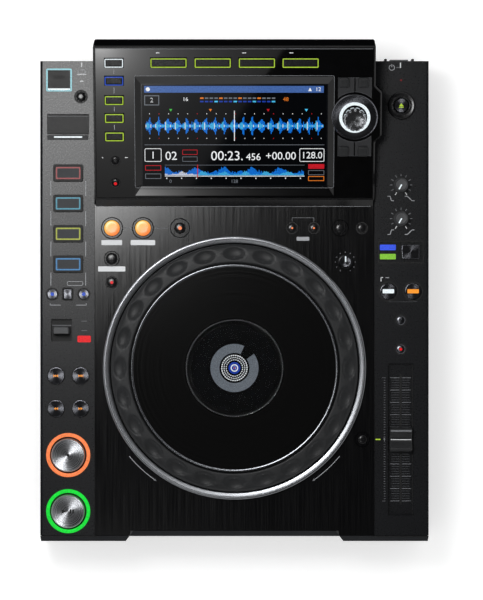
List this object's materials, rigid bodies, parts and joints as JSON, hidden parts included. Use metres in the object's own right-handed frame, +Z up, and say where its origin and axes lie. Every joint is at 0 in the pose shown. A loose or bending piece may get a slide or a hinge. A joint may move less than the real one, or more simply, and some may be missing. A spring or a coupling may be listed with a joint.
{
  "type": "tabletop disc player",
  "caption": "Tabletop disc player for disc jockeys: jog wheel, cue and play buttons, performance pads, tilted touch screen, tempo fader and a slot for the disc in front.",
  "frame": {"origin": "on the table, under the middle of the whole player", "axes": "+Z up, +Y towards the rear where the sockets are, +X to the right of the person who plays"},
  "size_m": [0.32, 0.4134, 0.1182],
  "materials": {
    "case_plastic": "fine texture, moulded",
    "deck_plastic": "satin black with hairline reflections",
    "housing_plastic": "satin moulded",
    "panel_gloss": "high gloss black",
    "screen": "lit display behind a gloss front",
    "window": "clear gloss",
    "base_steel": "powder coated",
    "trim_metal": "satin silver",
    "dial_plastic": "satin moulded",
    "plate_gloss": "gloss black",
    "board": "circuit board with solder mask",
    "steel": "plain sheet",
    "light_plastic": "clear light guide, lit from below",
    "pad_rubber": "translucent rubber, lit edge",
    "button_metal": "metal-coated, dished",
    "key_plastic": "satin moulded",
    "knob_plastic": "satin moulded",
    "roller_rubber": "matte",
    "drive_plastic": "moulded"
  },
  "bodies": {
    "case": {"base_plate": "base_steel", "left_side_cover": "case_plastic", "right_side_cover": "case_plastic", "front_panel": "case_plastic", "rear_panel": "base_steel", "deck_panel": "deck_plastic", "display_housing": "housing_plastic", "display_panel": "panel_gloss", "touch_screen": "screen", "jog_trim_ring": "trim_metal", "jog_pivot_post": "dial_plastic", "jog_display": "screen", "rear_jack_board": "board", "drive_frame": "steel", "main_board": "board", "power_supply": "board", "left_key_board": "board", "right_key_board": "board", "deck_key_board": "board", "display_key_board": "board", "tempo_fader_rail": "steel", "light_guide": "light_plastic"},
    "jog_wheel": {"jog_dial": "dial_plastic", "jog_plate": "plate_gloss", "jog_window": "window"},
    "hot_cue_pad_a": {"hot_cue_pad_a": "pad_rubber"},
    "hot_cue_pad_b": {"hot_cue_pad_b": "pad_rubber"},
    "hot_cue_pad_c": {"hot_cue_pad_c": "pad_rubber"},
    "hot_cue_pad_d": {"hot_cue_pad_d": "pad_rubber"},
    "usb_stop_key": {"usb_stop_key": "key_plastic"},
    "bank_keys": {"bank_keys": "key_plastic"},
    "search_keys": {"search_keys": "key_plastic"},
    "loop_in_button": {"loop_in_button": "key_plastic"},
    "loop_out_button": {"loop_out_button": "key_plastic"},
    "reloop_button": {"reloop_button": "key_plastic"},
    "beat_loop_keys": {"beat_loop_keys": "key_plastic"},
    "cue_call_keys": {"cue_call_keys": "key_plastic"},
    "tempo_reset_key": {"tempo_reset_key": "key_plastic"},
    "eject_button": {"eject_button": "key_plastic"},
    "jog_mode_key": {"jog_mode_key": "key_plastic"},
    "beat_sync_keys": {"beat_sync_keys": "key_plastic"},
    "tempo_keys": {"tempo_keys": "key_plastic"},
    "cue_button": {"cue_button": "button_metal"},
    "play_button": {"play_button": "button_metal"},
    "source_keys": {"source_keys": "key_plastic"},
    "menu_keys": {"menu_keys": "key_plastic"},
    "selector_keys": {"selector_keys": "key_plastic"},
    "selector_plunger": {"selector_plunger": "steel"},
    "selector_knob": {"selector_knob": "knob_plastic"},
    "brake_knob": {"brake_knob": "knob_plastic"},
    "release_knob": {"release_knob": "knob_plastic"},
    "jog_adjust_knob": {"jog_adjust_knob": "knob_plastic"},
    "tempo_fader": {"tempo_fader": "knob_plastic"},
    "direction_lever": {"direction_lever": "knob_plastic"},
    "power_switch": {"power_switch": "knob_plastic"},
    "usb_cover": {"usb_cover": "knob_plastic"},
    "card_door": {"card_door": "knob_plastic"},
    "spindle_hub": {"spindle_hub": "drive_plastic"},
    "laser_sled": {"laser_sled": "drive_plastic"},
    "feed_roller": {"feed_roller": "roller_rubber"}
  },
  "joints": [
    {"name": "jog_spin", "type": "hinge", "parent": "case", "child": "jog_wheel", "pos_m": [0, -0.06307, 0.078], "axis": [0, 0, 1], "continuous": true},
    {"name": "hot_cue_pad_a_press", "type": "slide", "parent": "case", "child": "hot_cue_pad_a", "axis": [0, 0, 1], "range_m": [-0.001, 0], "stiffness_N_per_m": 500, "springref_m": 0.001},
    {"name": "hot_cue_pad_b_press", "type": "slide", "parent": "case", "child": "hot_cue_pad_b", "axis": [0, 0, 1], "range_m": [-0.001, 0], "stiffness_N_per_m": 500, "springref_m": 0.001},
    {"name": "hot_cue_pad_c_press", "type": "slide", "parent": "case", "child": "hot_cue_pad_c", "axis": [0, 0, 1], "range_m": [-0.001, 0], "stiffness_N_per_m": 500, "springref_m": 0.001},
    {"name": "hot_cue_pad_d_press", "type": "slide", "parent": "case", "child": "hot_cue_pad_d", "axis": [0, 0, 1], "range_m": [-0.001, 0], "stiffness_N_per_m": 500, "springref_m": 0.001},
    {"name": "usb_stop_key_press", "type": "slide", "parent": "case", "child": "usb_stop_key", "axis": [0, 0, 1], "range_m": [-0.001, 0], "stiffness_N_per_m": 500, "springref_m": 0.001},
    {"name": "bank_keys_press", "type": "slide", "parent": "case", "child": "bank_keys", "axis": [0, 0, 1], "range_m": [-0.001, 0], "stiffness_N_per_m": 500, "springref_m": 0.001},
    {"name": "search_keys_press", "type": "slide", "parent": "case", "child": "search_keys", "axis": [0, 0, 1], "range_m": [-0.001, 0], "stiffness_N_per_m": 500, "springref_m": 0.001},
    {"name": "loop_in_button_press", "type": "slide", "parent": "case", "child": "loop_in_button", "axis": [0, 0, 1], "range_m": [-0.001, 0], "stiffness_N_per_m": 500, "springref_m": 0.001},
    {"name": "loop_out_button_press", "type": "slide", "parent": "case", "child": "loop_out_button", "axis": [0, 0, 1], "range_m": [-0.001, 0], "stiffness_N_per_m": 500, "springref_m": 0.001},
    {"name": "reloop_button_press", "type": "slide", "parent": "case", "child": "reloop_button", "axis": [0, 0, 1], "range_m": [-0.001, 0], "stiffness_N_per_m": 500, "springref_m": 0.001},
    {"name": "beat_loop_keys_press", "type": "slide", "parent": "case", "child": "beat_loop_keys", "axis": [0, 0, 1], "range_m": [-0.001, 0], "stiffness_N_per_m": 500, "springref_m": 0.001},
    {"name": "cue_call_keys_press", "type": "slide", "parent": "case", "child": "cue_call_keys", "axis": [0, 0, 1], "range_m": [-0.001, 0], "stiffness_N_per_m": 500, "springref_m": 0.001},
    {"name": "tempo_reset_key_press", "type": "slide", "parent": "case", "child": "tempo_reset_key", "axis": [0, 0, 1], "range_m": [-0.001, 0], "stiffness_N_per_m": 500, "springref_m": 0.001},
    {"name": "eject_button_press", "type": "slide", "parent": "case", "child": "eject_button", "axis": [0, 0, 1], "range_m": [-0.001, 0], "stiffness_N_per_m": 500, "springref_m": 0.001},
    {"name": "jog_mode_key_press", "type": "slide", "parent": "case", "child": "jog_mode_key", "axis": [0, 0, 1], "range_m": [-0.001, 0], "stiffness_N_per_m": 500, "springref_m": 0.001},
    {"name": "beat_sync_keys_press", "type": "slide", "parent": "case", "child": "beat_sync_keys", "axis": [0, 0, 1], "range_m": [-0.001, 0], "stiffness_N_per_m": 500, "springref_m": 0.001},
    {"name": "tempo_keys_press", "type": "slide", "parent": "case", "child": "tempo_keys", "axis": [0, 0, 1], "range_m": [-0.001, 0], "stiffness_N_per_m": 500, "springref_m": 0.001},
    {"name": "cue_button_press", "type": "slide", "parent": "case", "child": "cue_button", "axis": [0, 0, 1], "range_m": [-0.0012, 0], "stiffness_N_per_m": 500, "springref_m": 0.001},
    {"name": "play_button_press", "type": "slide", "parent": "case", "child": "play_button", "axis": [0, 0, 1], "range_m": [-0.0012, 0], "stiffness_N_per_m": 500, "springref_m": 0.001},
    {"name": "source_keys_press", "type": "slide", "parent": "case", "child": "source_keys", "axis": [0, -0.2675, 0.9636], "range_m": [-0.001, 0], "stiffness_N_per_m": 500, "springref_m": 0.001},
    {"name": "menu_keys_press", "type": "slide", "parent": "case", "child": "menu_keys", "axis": [0, -0.2675, 0.9636], "range_m": [-0.001, 0], "stiffness_N_per_m": 500, "springref_m": 0.001},
    {"name": "selector_keys_press", "type": "slide", "parent": "case", "child": "selector_keys", "axis": [0, -0.2675, 0.9636], "range_m": [-0.001, 0], "stiffness_N_per_m": 500, "springref_m": 0.001},
    {"name": "selector_press", "type": "slide", "parent": "case", "child": "selector_plunger", "axis": [0, -0.2675, 0.9636], "range_m": [-0.0008, 0], "stiffness_N_per_m": 500, "springref_m": 0.001},
    {"name": "selector_turn", "type": "hinge", "parent": "selector_plunger", "child": "selector_knob", "pos_m": [0.09821, 0.14225, 0.10244], "axis": [0, -0.2675, 0.9636], "continuous": true},
    {"name": "brake_turn", "type": "hinge", "parent": "case", "child": "brake_knob", "pos_m": [0.1372, 0.08755, 0.078], "axis": [0, 0, 1], "range_deg": [-150, 150]},
    {"name": "release_turn", "type": "hinge", "parent": "case", "child": "release_knob", "pos_m": [0.1372, 0.05979, 0.078], "axis": [0, 0, 1], "range_deg": [-150, 150]},
    {"name": "jog_adjust_turn", "type": "hinge", "parent": "case", "child": "jog_adjust_knob", "pos_m": [0.09124, 0.02409, 0.078], "axis": [0, 0, 1], "range_deg": [-150, 150]},
    {"name": "tempo_slide", "type": "slide", "parent": "case", "child": "tempo_fader", "axis": [0, 1, 0], "range_m": [-0.05, 0.05]},
    {"name": "direction_tilt", "type": "hinge", "parent": "case", "child": "direction_lever", "pos_m": [-0.14239, -0.0321, 0.0702], "axis": [1, 0, 0], "range_deg": [-12, 12]},
    {"name": "power_rock", "type": "hinge", "parent": "case", "child": "power_switch", "pos_m": [0.13621, 0.18835, 0.058], "axis": [1, 0, 0], "range_deg": [-12, 0]},
    {"name": "usb_cover_open", "type": "hinge", "parent": "case", "child": "usb_cover", "pos_m": [-0.14445, 0.18036, 0.077], "axis": [-1, 0, 0], "range_deg": [0, 100]},
    {"name": "card_door_open", "type": "hinge", "parent": "case", "child": "card_door", "pos_m": [-0.13702, 0.1445, 0.077], "axis": [-1, 0, 0], "range_deg": [0, 100]},
    {"name": "spindle_spin", "type": "hinge", "parent": "case", "child": "spindle_hub", "pos_m": [0, -0.1327, 0.0457], "axis": [0, 0, 1], "continuous": true},
    {"name": "sled_slide", "type": "slide", "parent": "case", "child": "laser_sled", "axis": [0, 1, 0], "range_m": [0, 0.034]},
    {"name": "feed_spin", "type": "hinge", "parent": "case", "child": "feed_roller", "pos_m": [0, -0.1867, 0.0423], "axis": [1, 0, 0], "continuous": true}
  ]
}
